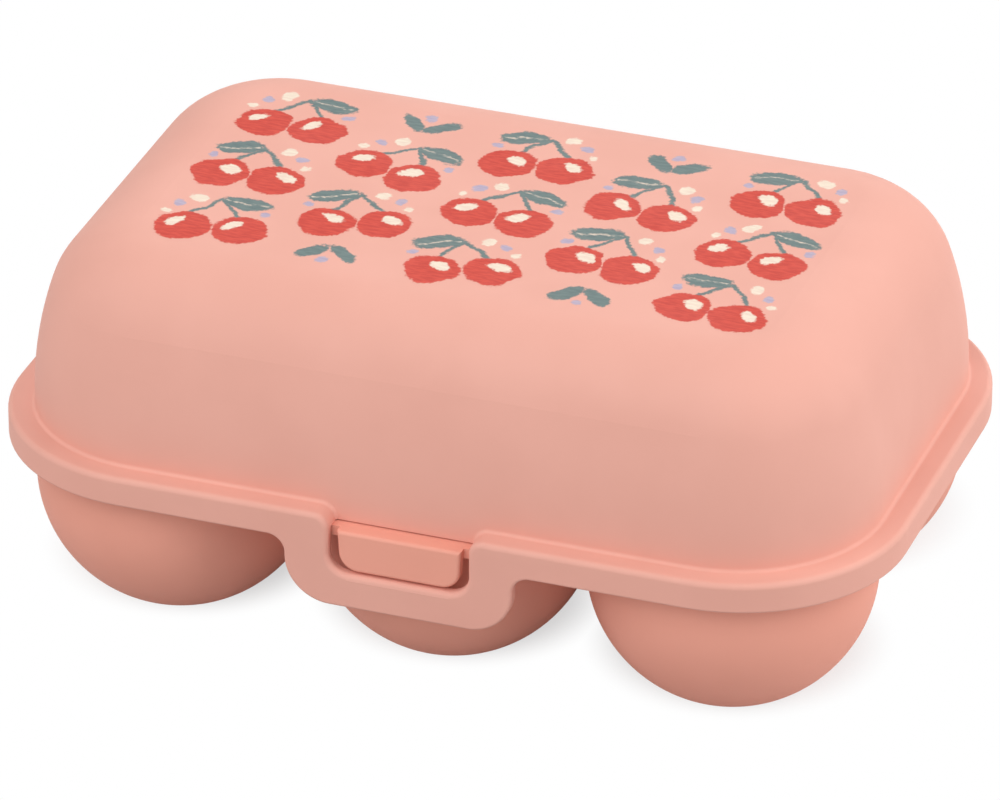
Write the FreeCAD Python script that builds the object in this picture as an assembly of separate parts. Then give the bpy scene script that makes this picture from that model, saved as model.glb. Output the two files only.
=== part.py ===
import FreeCAD, Part
import math
import os

# Egg box for six eggs: a tray of round cups under a domed lid that swings up on a clip-on hinge.
# The origin lies on the table, under the middle of the rim. +X runs along the length, +Z is up,
# and the latch is on the -Y side. All lengths are in millimetres.

# Egg cups
cup_radius = 24.1
cup_wall = 1.8
cup_gap = 0.2
row_web = 0.8
cup_collar_height = 6.5
foot_radius = 3.0
column_names = ("left", "middle", "right")
row_names = ("front", "rear")

# Deck that carries the cups
deck_thickness = 1.8
deck_side_gap = 0.5
cup_mouth_round = 0.6

# Rim of the lid: a flat shelf that lies on the deck, and a skirt that hangs round its edge
rim_overhang_side = 5.0
rim_overhang_front = 3.2
rim_corner_radius = 28.6
shelf_width_side = 4.35
shelf_width_front = 4.1
shelf_width_rear = 2.6
shelf_thickness = 2.85
skirt_height = 5.3
skirt_thickness = 1.9
rim_edge_round = 0.95
rim_foot_round = 0.5
wall_root_round = 0.65

# Dome of the lid: an upright foot, a slightly bulging wall, a round shoulder and a flat top
lid_height = 33.0
lid_wall = 1.8
wall_foot_height = 1.3
wall_bulge_radius = 66.0
shoulder_radius = 15.7
top_corner_radius = 6.6

# Latch loop that hangs from the front rim, and the window in it
loop_width = 39.4
loop_drop = 11.3
loop_corner_radius = 7.8
loop_flare_radius = 3.0
window_width = 24.3
window_drop = 5.15
window_corner_radius = 3.5
window_mouth_radius = 2.5
window_sill_gap = 0.25
flex_line_drop = 2.2

# Catch on the tray that fills the window
catch_side_gap = 1.45
catch_taper = 0.4
catch_bottom_gap = 0.4
catch_recess = 0.7
catch_corner_radius = 3.3
catch_edge_round = 0.6

# Clip-on hinge: a bar between two ears under the deck, and a clip under the lid's rear skirt
hinge_bar_radius = 1.1
hinge_clearance = 0.06
hinge_setback = 0.15
hinge_drop = 0.4
ear_radius = 2.1
ear_thickness = 2.0
ear_gap = 0.3
clip_wall = 1.05
clip_width = 8.0
clip_mouth_width = 1.9

# How far a cutting shape runs past what it cuts, and how close a point lies to a surface it is on
overrun = 0.5
on_surface = 0.01

# Places of the cups: the columns stand clear of each other, and the rows are flattened where they meet
cup_inner_radius = cup_radius - cup_wall
column_pitch = 2 * cup_radius + cup_gap
row_pitch = 2 * (cup_inner_radius + row_web) + cup_gap
column_offset = (len(column_names) - 1) / 2
row_offset = (len(row_names) - 1) / 2
cup_centre_z = math.sqrt(cup_radius ** 2 - foot_radius ** 2)

# Heights
deck_bottom_z = cup_centre_z + cup_collar_height
deck_top_z = deck_bottom_z + deck_thickness
rim_top_z = deck_top_z + shelf_thickness
rim_bottom_z = rim_top_z - skirt_height
lid_top_z = rim_top_z + lid_height
flex_line_z = rim_bottom_z - flex_line_drop
loop_bottom_z = rim_bottom_z - loop_drop
window_bottom_z = rim_bottom_z - window_drop

# Plans are given by the centres of their corners: how far out these lie, and the middle's Y
rim_half_x = column_offset * column_pitch + cup_radius + rim_overhang_side
rim_half_y = row_offset * row_pitch + cup_radius + rim_overhang_front
rim_plan = (rim_half_x - rim_corner_radius, rim_half_y - rim_corner_radius, 0)

# Plan of the dome, whose corners widen from the top's down to the foot of the wall
bulge_to_shoulder = wall_bulge_radius - shoulder_radius
shoulder_rise = lid_height - wall_foot_height - shoulder_radius
wall_lean = wall_bulge_radius - math.sqrt(bulge_to_shoulder ** 2 - shoulder_rise ** 2)
wall_corner_radius = top_corner_radius + wall_lean
dome_half_x = rim_half_x - shelf_width_side
dome_half_y = rim_half_y - (shelf_width_front + shelf_width_rear) / 2
dome_middle_y = (shelf_width_front - shelf_width_rear) / 2
dome_plan = (dome_half_x - wall_corner_radius, dome_half_y - wall_corner_radius, dome_middle_y)
wall_front_y = shelf_width_front - rim_half_y

# Plan of the deck, inside the skirt
deck_corner_radius = rim_corner_radius - skirt_thickness - deck_side_gap
deck_half_y = rim_half_y - skirt_thickness - deck_side_gap

# Hinge line, just behind the deck and below the skirt
hinge_y = deck_half_y + hinge_setback
hinge_z = rim_bottom_z - ear_radius - hinge_drop
hinge_xs = {"left": -column_pitch / 2, "right": column_pitch / 2}
clip_bore_radius = hinge_bar_radius + hinge_clearance
clip_radius = clip_bore_radius + clip_wall

X_AXIS = FreeCAD.Vector(1, 0, 0)
Y_AXIS = FreeCAD.Vector(0, 1, 0)
Z_AXIS = FreeCAD.Vector(0, 0, 1)
CENTRE = FreeCAD.Vector(0, 0, 0)
FULL_TURN = 360
QUARTER_TURN = 90


def elevation(x, z):
    """A point of an outline drawn on the upright plane through the origin that faces the front."""
    return FreeCAD.Vector(x, 0, z)


def line(start, end):
    return Part.LineSegment(start, end).toShape()


def arc(centre, radius, toward, start, end):
    """The arc from start to end that passes the centre on the side that toward points to."""
    middle = centre + FreeCAD.Vector(toward).normalize() * radius
    return Part.Arc(start, middle, end).toShape()


def face_of(edges):
    return Part.Face(Part.Wire(edges))


def rounded_outline(corners):
    """Face on the elevation plane, from corners given as x, z and the radius that rounds them."""
    points = [elevation(x, z) for x, z, radius in corners]
    edges = []
    starts = []
    ends = []
    bends = []
    for index, (x, z, radius) in enumerate(corners):
        corner = points[index]
        to_last = (points[index - 1] - corner).normalize()
        to_next = (points[(index + 1) % len(points)] - corner).normalize()
        half_angle = to_last.getAngle(to_next) / 2
        reach = radius / math.tan(half_angle)
        inward = (to_last + to_next).normalize()
        centre = corner + inward * (radius / math.sin(half_angle))
        starts.append(corner + to_last * reach)
        ends.append(corner + to_next * reach)
        bends.append(centre - inward * radius)
    for index, (x, z, radius) in enumerate(corners):
        if radius > 0:
            edges.append(Part.Arc(starts[index], bends[index], ends[index]).toShape())
        next_index = (index + 1) % len(corners)
        edges.append(line(ends[index], starts[next_index]))
    return face_of(edges)


def along_y(face, y_from, y_to):
    """Solid made by pushing an elevation face from one Y to another."""
    placed = face.copy()
    placed.translate(Y_AXIS * y_from)
    return placed.extrude(Y_AXIS * (y_to - y_from))


def block(x_from, x_to, y_from, y_to, z_from, z_to):
    corner = FreeCAD.Vector(x_from, y_from, z_from)
    return Part.makeBox(x_to - x_from, y_to - y_from, z_to - z_from, corner)


def edge_points(edge):
    """The two ends and the middle of an edge."""
    first = edge.FirstParameter
    last = edge.LastParameter
    return [edge.valueAt(value) for value in (first, (first + last) / 2, last)]


def rounded_plate(plan, radius, z_from, z_to):
    """A flat plate with round corners."""
    corner_x, corner_y, middle_y = plan
    y_from = middle_y - corner_y
    y_to = middle_y + corner_y
    plate = block(-corner_x, corner_x, y_from - radius, y_to + radius, z_from, z_to)
    pieces = [block(-corner_x - radius, corner_x + radius, y_from, y_to, z_from, z_to)]
    for x in (-corner_x, corner_x):
        for y in (y_from, y_to):
            pieces.append(Part.makeCylinder(radius, z_to - z_from, FreeCAD.Vector(x, y, z_from)))
    return plate.multiFuse(pieces).removeSplitter()


def plan_inset(point, plan, radius):
    """How far a point lies inside a plan's outline, seen from above."""
    corner_x, corner_y, middle_y = plan
    beyond_x = max(abs(point.x) - corner_x, 0)
    beyond_y = max(abs(point.y - middle_y) - corner_y, 0)
    return radius - math.hypot(beyond_x, beyond_y)


def is_near(value, target):
    return abs(value - target) < on_surface


def make_cup(x, y):
    """A round bowl with a small flat foot, a straight collar, and a flat side toward the other row."""
    sphere_centre = elevation(0, cup_centre_z)
    foot_edge = elevation(foot_radius, 0)
    outer_side = elevation(cup_radius, cup_centre_z)
    outer_mouth = elevation(cup_radius, deck_bottom_z)
    inner_mouth = elevation(cup_inner_radius, deck_bottom_z)
    inner_side = elevation(cup_inner_radius, cup_centre_z)
    inner_bottom = elevation(0, cup_centre_z - cup_inner_radius)
    down_and_out = elevation(1, -1)
    section = face_of([
        line(CENTRE, foot_edge),
        arc(sphere_centre, cup_radius, down_and_out, foot_edge, outer_side),
        line(outer_side, outer_mouth),
        line(outer_mouth, inner_mouth),
        line(inner_mouth, inner_side),
        arc(sphere_centre, cup_inner_radius, down_and_out, inner_side, inner_bottom),
        line(inner_bottom, CENTRE),
    ])
    cup = section.revolve(CENTRE, Z_AXIS, FULL_TURN)
    flat_distance = (row_pitch - cup_gap) / 2
    reach = max(cup_radius, flat_distance) + overrun
    toward_row = block(-reach, reach, flat_distance, reach, -overrun, deck_top_z)
    if y > 0:
        toward_row.rotate(CENTRE, Z_AXIS, FULL_TURN / 2)
    cup = cup.cut(toward_row)
    cup.translate(FreeCAD.Vector(x, y, 0))
    return cup


def cup_places():
    """Name and centre of each cup."""
    places = []
    for row, row_name in enumerate(row_names):
        for column, column_name in enumerate(column_names):
            x = (column - column_offset) * column_pitch
            y = (row - row_offset) * row_pitch
            places.append(("egg_cup_" + row_name + "_" + column_name, x, y))
    return places


def make_deck():
    """The flat plate between the cups and the lid, with a hole over each cup."""
    deck = rounded_plate(rim_plan, deck_corner_radius, deck_bottom_z, deck_top_z)
    for name, x, y in cup_places():
        corner = FreeCAD.Vector(x, y, deck_bottom_z - overrun)
        deck = deck.cut(Part.makeCylinder(cup_inner_radius, deck_thickness + 2 * overrun, corner))
    mouth_edges = []
    for edge in deck.Edges:
        is_mouth = isinstance(edge.Curve, Part.Circle) and is_near(edge.Curve.Radius, cup_inner_radius)
        if is_mouth and is_near(edge.Curve.Center.z, deck_top_z):
            mouth_edges.append(edge)
    return deck.makeFillet(cup_mouth_round, mouth_edges)


def make_catch():
    """The tongue on the front of the deck that fills the loop's window."""
    top_half = window_width / 2 - catch_side_gap
    bottom_half = top_half - catch_taper
    bottom_z = window_bottom_z + catch_bottom_gap
    front_y = catch_recess - rim_half_y
    outline = rounded_outline([
        (-top_half, deck_top_z, 0),
        (-bottom_half, bottom_z, catch_corner_radius),
        (bottom_half, bottom_z, catch_corner_radius),
        (top_half, deck_top_z, 0),
    ])
    catch = along_y(outline, front_y, -deck_half_y)
    front_edges = []
    for edge in catch.Edges:
        if all(is_near(point.y, front_y) for point in edge_points(edge)):
            front_edges.append(edge)
    return catch.makeFillet(catch_edge_round, front_edges)


def hinge_disc(radius, x_from, x_to):
    centre = FreeCAD.Vector(x_from, hinge_y, hinge_z)
    return Part.makeCylinder(radius, x_to - x_from, centre, X_AXIS)


def make_bracket(x):
    """Two ears under the deck's rear edge, with the hinge bar between them."""
    inner = clip_width / 2 + ear_gap
    outer = inner + ear_thickness
    bracket = hinge_disc(hinge_bar_radius, x - outer, x + outer)
    for x_from, x_to in ((x - outer, x - inner), (x + inner, x + outer)):
        ear = hinge_disc(ear_radius, x_from, x_to)
        web = block(x_from, x_to, hinge_y - ear_radius, deck_half_y, hinge_z, deck_bottom_z)
        bracket = bracket.fuse(ear.fuse(web))
    return bracket.removeSplitter()


def make_clip(x):
    """The open clip under the lid's rear skirt that clips onto the hinge bar from above."""
    x_from = x - clip_width / 2
    x_to = x + clip_width / 2
    skirt_inner_y = rim_half_y - skirt_thickness
    clip = hinge_disc(clip_radius, x_from, x_to)
    clip = clip.fuse(block(x_from, x_to, skirt_inner_y, hinge_y + clip_radius, hinge_z, rim_bottom_z))
    clip = clip.cut(hinge_disc(clip_bore_radius, x_from - overrun, x_to + overrun))
    mouth_half = clip_mouth_width / 2
    mouth_bottom_z = hinge_z - clip_radius - overrun
    mouth = block(x_from - overrun, x_to + overrun, hinge_y - mouth_half, hinge_y + mouth_half,
                  mouth_bottom_z, hinge_z)
    return clip.cut(mouth).removeSplitter()


def dome_section():
    """Half section of the dome, measured outward from the axis of a corner."""
    foot_z = rim_top_z + wall_foot_height
    inner_corner_radius = wall_corner_radius - lid_wall
    bulge_centre = elevation(wall_corner_radius - wall_bulge_radius, foot_z)
    shoulder_centre = elevation(top_corner_radius, lid_top_z - shoulder_radius)
    outward = (shoulder_centre - bulge_centre).normalize()
    bulge_inner_radius = wall_bulge_radius - lid_wall
    shoulder_inner_radius = shoulder_radius - lid_wall
    bulge_end = bulge_centre + outward * wall_bulge_radius
    bulge_inner_end = bulge_centre + outward * bulge_inner_radius
    toward_bulge = outward + X_AXIS
    toward_shoulder = outward + Z_AXIS
    top = elevation(0, lid_top_z)
    top_edge = elevation(top_corner_radius, lid_top_z)
    wall_foot = elevation(wall_corner_radius, foot_z)
    wall_bottom = elevation(wall_corner_radius, deck_top_z)
    inner_bottom = elevation(inner_corner_radius, deck_top_z)
    inner_foot = elevation(inner_corner_radius, foot_z)
    ceiling_edge = elevation(top_corner_radius, lid_top_z - lid_wall)
    ceiling = elevation(0, lid_top_z - lid_wall)
    return face_of([
        line(top, top_edge),
        arc(shoulder_centre, shoulder_radius, toward_shoulder, top_edge, bulge_end),
        arc(bulge_centre, wall_bulge_radius, toward_bulge, bulge_end, wall_foot),
        line(wall_foot, wall_bottom),
        line(wall_bottom, inner_bottom),
        line(inner_bottom, inner_foot),
        arc(bulge_centre, bulge_inner_radius, toward_bulge, inner_foot, bulge_inner_end),
        arc(shoulder_centre, shoulder_inner_radius, toward_shoulder, bulge_inner_end, ceiling_edge),
        line(ceiling_edge, ceiling),
        line(ceiling, top),
    ])


def make_dome():
    """The dome's section run round its plan: four corners, four straight sides and the top's middle."""
    corner_x, corner_y, middle_y = dome_plan
    y_from = middle_y - corner_y
    y_to = middle_y + corner_y
    section = dome_section()
    pieces = []
    corners = ((corner_x, y_to), (-corner_x, y_to), (-corner_x, y_from), (corner_x, y_from))
    for quarter, (x, y) in enumerate(corners):
        axis_point = FreeCAD.Vector(x, y, 0)
        last_x, last_y = corners[quarter - 1]
        turned = section.copy()
        turned.rotate(CENTRE, Z_AXIS, QUARTER_TURN * quarter)
        turned.translate(axis_point)
        pieces.append(turned.revolve(axis_point, Z_AXIS, QUARTER_TURN))
        pieces.append(turned.extrude(FreeCAD.Vector(last_x - x, last_y - y, 0)))
    middle = block(-corner_x, corner_x, y_from, y_to, lid_top_z - lid_wall, lid_top_z)
    return middle.multiFuse(pieces).removeSplitter()


def make_rim():
    """The shelf round the foot of the dome, with the skirt that hangs from its edge."""
    skirt_inner_radius = rim_corner_radius - skirt_thickness
    inner_corner_radius = wall_corner_radius - lid_wall
    below_z = rim_bottom_z - overrun
    rim = rounded_plate(rim_plan, rim_corner_radius, rim_bottom_z, rim_top_z)
    room_for_deck = rounded_plate(rim_plan, skirt_inner_radius, below_z, deck_top_z)
    mouth = rounded_plate(dome_plan, inner_corner_radius, below_z, rim_top_z + overrun)
    return rim.cut(room_for_deck).cut(mouth)


def loop_outline():
    half = loop_width / 2
    side = half + loop_flare_radius + overrun
    return rounded_outline([
        (-side, rim_bottom_z + overrun, 0),
        (-side, rim_bottom_z, 0),
        (-half, rim_bottom_z, loop_flare_radius),
        (-half, loop_bottom_z, loop_corner_radius),
        (half, loop_bottom_z, loop_corner_radius),
        (half, rim_bottom_z, loop_flare_radius),
        (side, rim_bottom_z, 0),
        (side, rim_bottom_z + overrun, 0),
    ])


def window_outline():
    half = window_width / 2
    side = half + window_mouth_radius + overrun
    return rounded_outline([
        (-side, rim_top_z + overrun, 0),
        (-side, rim_top_z, 0),
        (-half, rim_top_z, window_mouth_radius),
        (-half, window_bottom_z, window_corner_radius),
        (half, window_bottom_z, window_corner_radius),
        (half, rim_top_z, window_mouth_radius),
        (side, rim_top_z, 0),
        (side, rim_top_z + overrun, 0),
    ])


def is_in_window(point):
    """Whether a point lies on the edge of the window or of its mouth, seen from the front."""
    beside_mouth = abs(point.x) < window_width / 2 + window_mouth_radius + on_surface
    return point.y < 0 and beside_mouth and point.z > window_bottom_z - on_surface


def root_edges(lid):
    """Edges in the groove where the wall meets the shelf, and down the sides of the window."""
    found = []
    for edge in lid.Edges:
        points = edge_points(edge)
        on_wall = all(is_near(plan_inset(point, dome_plan, wall_corner_radius), 0) for point in points)
        on_shelf = all(is_near(point.z, rim_top_z) for point in points)
        in_mouth = is_in_window(points[1]) and abs(points[1].x) > window_width / 2 - on_surface
        below_shelf = deck_top_z + on_surface < points[1].z < rim_top_z + on_surface
        if on_wall and (on_shelf or (in_mouth and below_shelf)):
            found.append(edge)
    return found


def outer_edges(lid, upper):
    """Edges of the rim's upright face: the upper with the window's, or the lower with the loop's."""
    found = []
    for edge in lid.Edges:
        points = edge_points(edge)
        on_face = all(is_near(plan_inset(point, rim_plan, rim_corner_radius), 0) for point in points)
        at_top = all(is_near(point.z, rim_top_z) for point in points)
        at_bottom = all(is_near(point.z, rim_bottom_z) for point in points)
        in_window = is_in_window(points[1]) and points[1].z < rim_top_z
        on_loop = points[1].y < 0 and points[1].z < rim_bottom_z and not in_window
        is_upper = at_top or in_window
        is_lower = at_bottom or on_loop
        if on_face and (is_upper if upper else is_lower):
            found.append(edge)
    return found


def make_lid_and_loop():
    """The lid as it is moulded, parted at the line where the latch loop bends."""
    lid = make_dome().fuse(make_rim()).removeSplitter()
    lid = lid.fuse(along_y(loop_outline(), -rim_half_y, skirt_thickness - rim_half_y)).removeSplitter()
    lid = lid.cut(along_y(window_outline(), -rim_half_y - overrun, wall_front_y)).removeSplitter()
    lid = lid.makeFillet(wall_root_round, root_edges(lid))
    lid = lid.makeFillet(rim_edge_round, outer_edges(lid, True))
    lid = lid.makeFillet(rim_foot_round, outer_edges(lid, False))
    sill_half = window_width / 2
    sill = block(-sill_half, sill_half, wall_front_y - overrun, wall_front_y + lid_wall + overrun,
                 deck_top_z - overrun, deck_top_z + window_sill_gap)
    lid = lid.cut(sill)
    below = block(-rim_half_x, rim_half_x, -rim_half_y - overrun, rim_half_y + overrun,
                  loop_bottom_z - overrun, flex_line_z)
    return lid.cut(below), lid.common(below)


def build_nodes():
    nodes = {}
    for name, x, y in cup_places():
        nodes[name] = make_cup(x, y)
    nodes["tray_deck"] = make_deck()
    nodes["latch_catch"] = make_catch()
    for side, x in hinge_xs.items():
        nodes["hinge_bracket_" + side] = make_bracket(x)
        nodes["hinge_clip_" + side] = make_clip(x)
    nodes["lid_shell"], nodes["latch_loop"] = make_lid_and_loop()
    return nodes


def main():
    os.makedirs("parts", exist_ok=True)
    for name, shape in build_nodes().items():
        shape.exportStep(os.path.join("parts", name + ".step"))
        print(name, "solids", len(shape.Solids), "valid", shape.isValid(), "volume", round(shape.Volume, 1))


main()
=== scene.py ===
import math

import bmesh
import bpy
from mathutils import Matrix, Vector


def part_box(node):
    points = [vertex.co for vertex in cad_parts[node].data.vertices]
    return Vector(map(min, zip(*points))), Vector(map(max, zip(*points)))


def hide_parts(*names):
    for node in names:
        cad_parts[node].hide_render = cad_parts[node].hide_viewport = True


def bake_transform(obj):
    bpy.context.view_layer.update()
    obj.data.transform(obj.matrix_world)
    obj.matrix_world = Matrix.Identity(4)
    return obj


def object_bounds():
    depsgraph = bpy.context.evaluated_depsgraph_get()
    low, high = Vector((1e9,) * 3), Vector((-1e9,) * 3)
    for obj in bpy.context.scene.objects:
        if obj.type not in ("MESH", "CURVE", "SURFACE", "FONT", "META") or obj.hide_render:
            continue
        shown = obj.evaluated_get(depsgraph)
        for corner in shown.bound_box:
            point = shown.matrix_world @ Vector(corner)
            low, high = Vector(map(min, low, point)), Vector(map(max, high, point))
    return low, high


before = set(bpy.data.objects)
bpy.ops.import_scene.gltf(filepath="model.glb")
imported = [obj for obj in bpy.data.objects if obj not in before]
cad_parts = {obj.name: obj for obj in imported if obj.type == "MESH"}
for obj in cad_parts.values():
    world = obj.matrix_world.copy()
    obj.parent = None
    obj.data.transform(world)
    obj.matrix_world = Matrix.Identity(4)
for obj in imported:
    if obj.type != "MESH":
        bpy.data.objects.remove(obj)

cad_low, cad_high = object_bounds()

# Lengths are in metres, apart from the print, which is drawn in millimetres
MILLIMETRE = 0.001

# Camera: the direction and distance at which it stands, and the point in the middle of its picture
camera_azimuth = math.radians(19.635)
camera_elevation = math.radians(30.298)
camera_distance = 1.4327
camera_stand = Vector((0, 0.001, 0))
camera_aim = Vector((-0.00533, 0.01411, 0.02400))
camera_sensor = 0.036
camera_focal_share = 8.488

# Lamps: azimuth and elevation in degrees, and a level, where 1 lights a facing white surface almost fully
LAMPS = {
    "right_lamp": (95, 24, 0.81),
    "left_lamp": (332, 43, 0.81),
    "back_lamp": (176, 36, 0.43),
}
lamp_distance = 1.6
lamp_size = 1.7
world_level = 0.23

# Floor: white, with the box's shadow only in a round patch at each cup, a little behind its foot
floor_half = 2.0
floor_seen_albedo = 0.95
floor_bounce_albedo = 0.5
floor_white_share = 0.6
floor_shade_shift = (-0.0035, 0.0150)
floor_shade_radius = 0.016
floor_fade = 0.011

# Colours as red, green and blue from 0 to 255
LID_SALMON = (237, 175, 159)
LID_SALMON_DEEP = (234, 172, 156)
# The tray's salmon is redder than the lid's partly as painted shade: it stands in for the redder shade on the
# cups under the rim
TRAY_SALMON = (244, 169, 149)
TRAY_SALMON_DEEP = (241, 166, 146)
CHERRY = (214, 78, 62)
CHERRY_DEEP = (197, 62, 50)
CREAM = (246, 231, 211)
CREAM_DEEP = (238, 215, 196)
LILAC = (192, 178, 196)
LILAC_DEEP = (178, 163, 186)
SAGE = (114, 131, 128)
SAGE_DEEP = (98, 116, 116)
WHITE = (255, 255, 255)

# Noise: its middle, the span of it that is spread from 0 to 1, and its layers of detail
noise_middle_share = 0.5
noise_span_shares = (0.3, 0.7)
coarse_detail = 1.0
plain_detail = 2.0
fine_detail = 3.0

# Plastic: a fine moulded grain and a faint mottle
grain_size = 0.00022
grain_height = 0.000012
mottle_size = 0.018
plastic_roughness = 0.6
plastic_roughness_spread = 0.05
plastic_gloss = 0.3

# Latch strap: the length below the rim over which it is cut into level bands, and the number of bands
strap_bend = 0.0042
strap_bands = 14

# The lid's top is flat where it lies this close to the highest point
flat_tolerance = 0.00001

# Print in millimetres: cherry pairs in columns, every other column half a row off and one pair short
print_columns = 5
print_rows = 3
column_shift_share = 0.5
print_skin = 0.8
print_wobble = 2.2
print_wobble_size = 4.5
print_turn = math.radians(28)
turn_seed = 3.0
mirror_seed = 7.0
mirrored_share = 0.5

# Brush: soft edges that fray, and streaks that are longer than they are wide
brush_edge = 0.22
brush_fray = 1.0
brush_fray_size = 0.7
brush_streak_size = 2.2
brush_streak_shares = (1, 4, 1)

# Cherry pair, from its middle
cherry_radius = 4.8
cherry_places = ((-4.9, -2.8), (4.8, -3.6))
stem_joint = (0.8, 6.9)
stem_half_width = 0.42
stem_dip_share = 0.75
leaf_place = (5.1, 5.9)
leaf_half = (4.3, 2.1)
leaf_turn = math.radians(-16)
vein_half_width = 0.17
vein_share = 0.8
shine_offset = (-1.3, 1.5)
shine_half = (2.0, 1.25)
shine_turn = math.radians(38)
dots = (
    ((-6.3, 5.3), 1.05, "lilac"),
    ((-3.1, 7.2), 1.35, "cream"),
    ((-8.1, 2.9), 0.85, "cream"),
    ((8.6, 2.1), 0.9, "lilac"),
)

# Sprig in the room that the short columns leave, and how far past the outer row it lies
sprig_row_share = 0.22
sprig_leaf_half = (3.3, 1.6)
sprig_leaf_places = ((-2.6, 0.6), (2.5, 0.2))
sprig_leaf_turns = (math.radians(-50), math.radians(38))
sprig_dot_place = (-0.2, 3.2)
sprig_dot_radius = 1.0


def linear(colour):
    """A colour from 0 to 255 per channel as the linear values that shaders take, by the sRGB curve."""
    channels = []
    for value in colour:
        share = value / 255
        channels.append(share / 12.92 if share <= 0.04045 else ((share + 0.055) / 1.055) ** 2.4)
    return (*channels, 1)


def grey(albedo):
    """A grey that is given as a linear value."""
    return (albedo, albedo, albedo, 1)


class Graph:
    """A material's node tree, with short calls for the nodes used here."""

    def __init__(self, tree):
        self.tree = tree
        tree.nodes.clear()

    def node(self, kind, **settings):
        made = self.tree.nodes.new(kind)
        for name, value in settings.items():
            setattr(made, name, value)
        return made

    def feed(self, socket, value):
        if isinstance(value, bpy.types.NodeSocket):
            self.tree.links.new(value, socket)
        else:
            socket.default_value = value

    def math(self, operation, *values):
        made = self.node("ShaderNodeMath", operation=operation)
        for index, value in enumerate(values):
            self.feed(made.inputs[index], value)
        return made.outputs[0]

    def vector(self, operation, *values):
        made = self.node("ShaderNodeVectorMath", operation=operation)
        for index, value in enumerate(values):
            self.feed(made.inputs[index], value)
        return made.outputs[0]

    def length(self, vector):
        made = self.node("ShaderNodeVectorMath", operation="LENGTH")
        self.feed(made.inputs[0], vector)
        return made.outputs["Value"]

    def dot(self, first, second):
        made = self.node("ShaderNodeVectorMath", operation="DOT_PRODUCT")
        self.feed(made.inputs[0], first)
        self.feed(made.inputs[1], second)
        return made.outputs["Value"]

    def scale(self, vector, factor):
        made = self.node("ShaderNodeVectorMath", operation="SCALE")
        self.feed(made.inputs[0], vector)
        self.feed(made.inputs["Scale"], factor)
        return made.outputs[0]

    def turn(self, vector, angle):
        """The vector turned about Z."""
        made = self.node("ShaderNodeVectorRotate", rotation_type="Z_AXIS")
        self.feed(made.inputs["Vector"], vector)
        self.feed(made.inputs["Angle"], angle)
        return made.outputs[0]

    def combine(self, x, y, z=0.0):
        made = self.node("ShaderNodeCombineXYZ")
        for index, value in enumerate((x, y, z)):
            self.feed(made.inputs[index], value)
        return made.outputs[0]

    def separate(self, vector):
        made = self.node("ShaderNodeSeparateXYZ")
        self.feed(made.inputs[0], vector)
        return made.outputs[0], made.outputs[1], made.outputs[2]

    def noise(self, vector, size, detail=plain_detail, output="Fac"):
        """Smooth noise from 0 to 1, with lumps of about that size."""
        made = self.node("ShaderNodeTexNoise")
        self.feed(made.inputs["Vector"], vector)
        made.inputs["Scale"].default_value = 1 / size
        made.inputs["Detail"].default_value = detail
        return made.outputs[output]

    def chance(self, vector):
        """A number from 0 to 1 that is the same wherever the vector is the same."""
        made = self.node("ShaderNodeTexWhiteNoise", noise_dimensions="3D")
        self.feed(made.inputs["Vector"], vector)
        return made.outputs["Value"]

    def between(self, value, low, high, start=0.0, end=1.0):
        """Value from low to high, eased into start to end."""
        made = self.node("ShaderNodeMapRange", interpolation_type="SMOOTHSTEP")
        for index, part in enumerate((value, low, high, start, end)):
            self.feed(made.inputs[index], part)
        return made.outputs[0]

    def mix(self, share, first, second):
        """The first colour, with that share of the second: a mix node's colours are inputs 6 and 7."""
        made = self.node("ShaderNodeMix", data_type="RGBA")
        self.feed(made.inputs["Factor"], share)
        self.feed(made.inputs[6], first)
        self.feed(made.inputs[7], second)
        return made.outputs[2]


def new_material(name):
    material = bpy.data.materials.new(name)
    material.use_nodes = True
    return material, Graph(material.node_tree)


def flat_top():
    """Lowest and highest corner of the lid's flat top."""
    points = [vertex.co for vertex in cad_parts["lid_shell"].data.vertices]
    top = max(point.z for point in points)
    flat = [point for point in points if top - point.z < flat_tolerance]
    low = Vector((min(point.x for point in flat), min(point.y for point in flat), top))
    high = Vector((max(point.x for point in flat), max(point.y for point in flat), top))
    return low, high


def ellipse(graph, place, centre, half, turn=0.0):
    """How far a place lies outside an ellipse, in millimetres, near enough at its edge."""
    local = graph.vector("SUBTRACT", place, (*centre, 0))
    if turn:
        local = graph.turn(local, -turn)
    shrunk = graph.vector("DIVIDE", local, (*half, 1))
    reach = graph.math("SUBTRACT", graph.length(shrunk), 1.0)
    return graph.math("MULTIPLY", reach, min(half))


def stroke(graph, place, start, end, half_width):
    """How far a place lies outside a straight brush stroke, in millimetres."""
    run = Vector((*end, 0)) - Vector((*start, 0))
    local = graph.vector("SUBTRACT", place, (*start, 0))
    along = graph.math("DIVIDE", graph.dot(local, tuple(run)), run.length_squared)
    along = graph.math("MINIMUM", graph.math("MAXIMUM", along, 0.0), 1.0)
    foot = graph.combine(graph.math("MULTIPLY", along, run.x), graph.math("MULTIPLY", along, run.y))
    return graph.math("SUBTRACT", graph.length(graph.vector("SUBTRACT", local, foot)), half_width)


def nearest(graph, distances):
    """The least of several distances."""
    least = distances[0]
    for distance in distances[1:]:
        least = graph.math("MINIMUM", least, distance)
    return least


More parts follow.
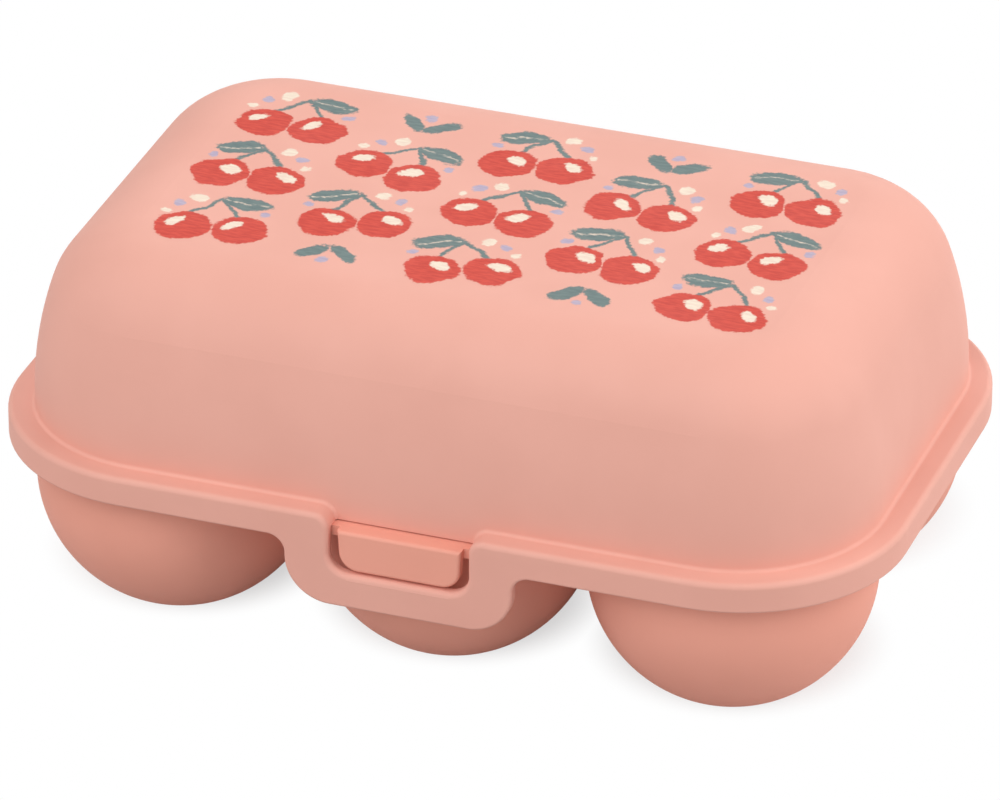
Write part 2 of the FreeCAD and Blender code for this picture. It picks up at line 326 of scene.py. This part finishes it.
def cherry_motif(graph, place):
    """Distances to the shapes of one cherry pair, by the ink that they are printed in, from the bottom up."""
    stems = []
    shines = []
    fruits = []
    for x, y in cherry_places:
        fruits.append(ellipse(graph, place, (x, y), (cherry_radius, cherry_radius)))
        stem_foot = (x, y + cherry_radius * stem_dip_share)
        stems.append(stroke(graph, place, stem_foot, stem_joint, stem_half_width))
        shine_place = (x + shine_offset[0], y + shine_offset[1])
        shines.append(ellipse(graph, place, shine_place, shine_half, shine_turn))
    leaf = ellipse(graph, place, leaf_place, leaf_half, leaf_turn)
    reach = Vector((math.cos(leaf_turn), math.sin(leaf_turn))) * leaf_half[0] * vein_share
    middle = Vector(leaf_place)
    vein = stroke(graph, place, tuple(middle - reach), tuple(middle + reach), vein_half_width)
    spots = {"lilac": [], "cream": []}
    for centre, radius, ink in dots:
        spots[ink].append(ellipse(graph, place, centre, (radius, radius)))
    return [
        ("sage", nearest(graph, stems + [leaf])),
        ("sage_light", vein),
        ("cherry", nearest(graph, fruits)),
        ("cream", nearest(graph, shines + spots["cream"])),
        ("lilac", nearest(graph, spots["lilac"])),
    ]


def sprig_motif(graph, place):
    """Distances to the shapes of one small sprig: two leaves and a dot."""
    leaves = []
    for centre, turn in zip(sprig_leaf_places, sprig_leaf_turns):
        leaves.append(ellipse(graph, place, centre, sprig_leaf_half, turn))
    dot = ellipse(graph, place, sprig_dot_place, (sprig_dot_radius, sprig_dot_radius))
    return [("sage", nearest(graph, leaves)), ("lilac", dot)]


def print_shapes(graph, flat, column_pitch, row_pitch):
    """Distances to the shapes of the whole print, with their inks: each place looks at its own motif."""
    lumps = graph.noise(flat, print_wobble_size, coarse_detail, "Color")
    lumps = graph.scale(graph.vector("SUBTRACT", lumps, (noise_middle_share,) * 3), print_wobble)
    x, y = graph.separate(graph.vector("ADD", flat, lumps))[:2]

    last_column = print_columns // 2
    last_row = print_rows // 2
    column = graph.math("ROUND", graph.math("DIVIDE", x, column_pitch))
    column = graph.math("MINIMUM", graph.math("MAXIMUM", column, -last_column), last_column)
    odd = graph.math("PINGPONG", column, 1.0)
    shift = graph.math("MULTIPLY", odd, column_shift_share)
    row_place = graph.math("SUBTRACT", graph.math("DIVIDE", y, row_pitch), shift)
    row = graph.math("MAXIMUM", graph.math("ROUND", row_place), -last_row)
    row = graph.math("MINIMUM", row, graph.math("SUBTRACT", last_row, odd))
    local_x = graph.math("SUBTRACT", x, graph.math("MULTIPLY", column, column_pitch))
    local_y = graph.math("MULTIPLY", graph.math("SUBTRACT", row_place, row), row_pitch)

    turn_chance = graph.chance(graph.combine(column, row, turn_seed))
    lean = graph.math("MULTIPLY", graph.math("SUBTRACT", turn_chance, noise_middle_share), print_turn)
    mirror_chance = graph.chance(graph.combine(row, column, mirror_seed))
    mirrored = graph.math("GREATER_THAN", mirror_chance, mirrored_share)
    side = graph.math("SUBTRACT", 1.0, graph.math("MULTIPLY", mirrored, 2.0))
    motif_place = graph.turn(graph.combine(graph.math("MULTIPLY", local_x, side), local_y), lean)
    shapes = cherry_motif(graph, motif_place)

    sprig_y = row_pitch * (last_row + sprig_row_share)
    beyond = graph.math("SUBTRACT", graph.math("ABSOLUTE", y), sprig_y)
    for ink, distance in sprig_motif(graph, graph.combine(local_x, beyond)):
        away = graph.math("MULTIPLY", graph.math("SUBTRACT", 1.0, odd), column_pitch)
        shapes.append((ink, graph.math("ADD", distance, away)))
    return shapes


def cherry_print(graph, place, colour):
    """Lays the print over the colour of the lid's flat top. Gives the colour."""
    low, high = flat_top()
    middle = (low + high) / 2
    column_pitch = (high.x - low.x) / MILLIMETRE / print_columns
    row_pitch = (high.y - low.y) / MILLIMETRE / print_rows
    flat = graph.scale(graph.vector("SUBTRACT", place, tuple(middle)), 1 / MILLIMETRE)
    inks = {
        "sage": (SAGE, SAGE_DEEP),
        "sage_light": (CREAM_DEEP, SAGE),
        "cherry": (CHERRY, CHERRY_DEEP),
        "cream": (CREAM, CREAM_DEEP),
        "lilac": (LILAC, LILAC_DEEP),
    }
    fray = graph.math("SUBTRACT", graph.noise(flat, brush_fray_size), noise_middle_share)
    fray = graph.math("MULTIPLY", fray, brush_fray)
    stretched = graph.vector("MULTIPLY", flat, brush_streak_shares)
    streaks = graph.between(graph.noise(stretched, brush_streak_size, fine_detail), *noise_span_shares)
    depth = graph.separate(flat)[2]
    on_top = graph.math("GREATER_THAN", depth, -print_skin)
    for ink, distance in print_shapes(graph, flat, column_pitch, row_pitch):
        light, deep = inks[ink]
        cover = graph.between(graph.math("ADD", distance, fray), brush_edge, -brush_edge)
        cover = graph.math("MULTIPLY", cover, on_top)
        colour = graph.mix(cover, colour, graph.mix(streaks, linear(light), linear(deep)))
    return colour


def plastic_material(name, light, deep, print_on=None):
    """Satin moulded plastic: a faint mottle, a fine grain, and a print if there is one."""
    material, graph = new_material(name)
    place = graph.node("ShaderNodeTexCoord").outputs["Object"]
    shader = graph.node("ShaderNodeBsdfPrincipled")
    output = graph.node("ShaderNodeOutputMaterial")
    mottle = graph.between(graph.noise(place, mottle_size, fine_detail), *noise_span_shares)
    grain = graph.noise(place, grain_size)
    colour = graph.mix(mottle, linear(light), linear(deep))
    roughest = plastic_roughness + plastic_roughness_spread
    roughness = graph.between(mottle, 0.0, 1.0, plastic_roughness, roughest)
    if print_on:
        colour = print_on(graph, place, colour)
    bump = graph.node("ShaderNodeBump")
    bump.inputs["Distance"].default_value = grain_height
    graph.feed(bump.inputs["Height"], grain)
    shader.inputs["Specular IOR Level"].default_value = plastic_gloss
    graph.feed(shader.inputs["Base Color"], colour)
    graph.feed(shader.inputs["Roughness"], roughness)
    graph.feed(shader.inputs["Normal"], bump.outputs[0])
    graph.feed(output.inputs["Surface"], shader.outputs[0])
    return material


def dress(piece, material):
    piece.data.materials.clear()
    piece.data.materials.append(material)


def make_latch_strap(material):
    """The latch loop as a strap, cut into level bands in the span just below the rim."""
    low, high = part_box("latch_loop")
    shape = bmesh.new()
    shape.from_mesh(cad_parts["latch_loop"].data)
    for band in range(1, strap_bands):
        level = high[2] - strap_bend * band / strap_bands
        everything = shape.verts[:] + shape.edges[:] + shape.faces[:]
        bmesh.ops.bisect_plane(shape, geom=everything, plane_co=(0, 0, level), plane_no=(0, 0, 1))
    mesh = bpy.data.meshes.new("latch_strap")
    shape.to_mesh(mesh)
    shape.free()
    mesh.shade_smooth()
    strap = bpy.data.objects.new("latch_strap", mesh)
    bpy.context.scene.collection.objects.link(strap)
    dress(strap, material)
    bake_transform(strap)
    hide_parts("latch_loop")


def outward(azimuth, elevation):
    """The direction out from the box at that azimuth, from the front towards the right, and elevation."""
    level = math.cos(elevation)
    return Vector((math.sin(azimuth) * level, -math.cos(azimuth) * level, math.sin(elevation)))


def make_camera():
    data = bpy.data.cameras.new("camera")
    camera = bpy.data.objects.new("camera", data)
    bpy.context.scene.collection.objects.link(camera)
    camera.location = camera_stand + outward(camera_azimuth, camera_elevation) * camera_distance
    look = camera_aim - camera.location
    camera.rotation_euler = look.to_track_quat("-Z", "Y").to_euler()
    data.sensor_width = camera_sensor / MILLIMETRE
    data.lens = camera_focal_share * camera_sensor / MILLIMETRE
    bpy.context.scene.camera = camera


def make_lamp(name, azimuth, elevation, level):
    """A square soft lamp aimed at the middle of the box."""
    data = bpy.data.lights.new(name, "AREA")
    data.shape = "SQUARE"
    data.size = lamp_size
    data.energy = level * (math.pi * lamp_distance) ** 2
    lamp = bpy.data.objects.new(name, data)
    bpy.context.scene.collection.objects.link(lamp)
    away = outward(math.radians(azimuth), math.radians(elevation))
    lamp.location = (cad_low + cad_high) / 2 + away * lamp_distance
    lamp.rotation_euler = (-away).to_track_quat("-Z", "Y").to_euler()


def ray_shares(graph):
    """1 or 0 for what the camera sees itself, and for what it sees itself or in a reflection."""
    rays = graph.node("ShaderNodeLightPath")
    direct = rays.outputs["Is Camera Ray"]
    return direct, graph.math("MAXIMUM", direct, rays.outputs["Is Glossy Ray"])


def make_world():
    """White to the camera and in reflections, and a plain level of light for everything else."""
    world = bpy.data.worlds.new("studio")
    world.use_nodes = True
    bpy.context.scene.world = world
    graph = Graph(world.node_tree)
    seen = ray_shares(graph)[1]
    background = graph.node("ShaderNodeBackground")
    background.inputs["Color"].default_value = linear(WHITE)
    graph.feed(background.inputs["Strength"], graph.between(seen, 0.0, 1.0, world_level, 1.0))
    output = graph.node("ShaderNodeOutputWorld")
    graph.feed(output.inputs["Surface"], background.outputs[0])


def shade_places():
    """The middle of the round shadow patch at each cup."""
    places = []
    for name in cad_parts:
        if name.startswith("egg_cup"):
            low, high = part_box(name)
            x = (low[0] + high[0]) / 2 + floor_shade_shift[0]
            y = (low[1] + high[1]) / 2 + floor_shade_shift[1]
            places.append((x, y, 0))
    return places


def floor_material():
    """White to the camera but for the shadow patches, and a plain grey for the light that it throws back."""
    material, graph = new_material("floor")
    place = graph.node("ShaderNodeTexCoord").outputs["Object"]
    direct, seen = ray_shares(graph)
    distances = []
    for middle in shade_places():
        distances.append(graph.length(graph.vector("SUBTRACT", place, middle)))
    outside = nearest(graph, distances)
    fade_end = floor_shade_radius + floor_fade
    fade = graph.between(outside, floor_shade_radius, fade_end, floor_white_share, 1.0)
    white_share = graph.math("MULTIPLY", fade, direct)
    diffuse = graph.node("ShaderNodeBsdfDiffuse")
    graph.feed(diffuse.inputs["Color"], graph.mix(seen, grey(floor_bounce_albedo), grey(floor_seen_albedo)))
    glow = graph.node("ShaderNodeEmission")
    mixed = graph.node("ShaderNodeMixShader")
    graph.feed(mixed.inputs[0], white_share)
    graph.feed(mixed.inputs[1], diffuse.outputs[0])
    graph.feed(mixed.inputs[2], glow.outputs[0])
    output = graph.node("ShaderNodeOutputMaterial")
    graph.feed(output.inputs["Surface"], mixed.outputs[0])
    return material


def make_floor():
    mesh = bpy.data.meshes.new("floor")
    corners = [(-floor_half, -floor_half, 0), (floor_half, -floor_half, 0),
               (floor_half, floor_half, 0), (-floor_half, floor_half, 0)]
    mesh.from_pydata(corners, [], [(0, 1, 2, 3)])
    floor = bpy.data.objects.new("floor", mesh)
    bpy.context.scene.collection.objects.link(floor)
    mesh.materials.append(floor_material())


# The tray's colour holds painted shade in part: it is redder than the lid's for the shade on the cups under
# the rim
tray_plastic = plastic_material("tray_plastic", TRAY_SALMON, TRAY_SALMON_DEEP)
lid_plastic = plastic_material("lid_plastic", LID_SALMON, LID_SALMON_DEEP)
printed_plastic = plastic_material("printed_lid_plastic", LID_SALMON, LID_SALMON_DEEP, cherry_print)
for name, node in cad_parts.items():
    if name == "lid_shell":
        dress(node, printed_plastic)
    elif name.startswith("hinge_clip"):
        dress(node, lid_plastic)
    else:
        dress(node, tray_plastic)
make_latch_strap(lid_plastic)

make_camera()
make_world()
for lamp_name, (lamp_azimuth, lamp_elevation, lamp_level) in LAMPS.items():
    make_lamp(lamp_name, lamp_azimuth, lamp_elevation, lamp_level)
make_floor()

bpy.context.scene.view_settings.view_transform = "Standard"
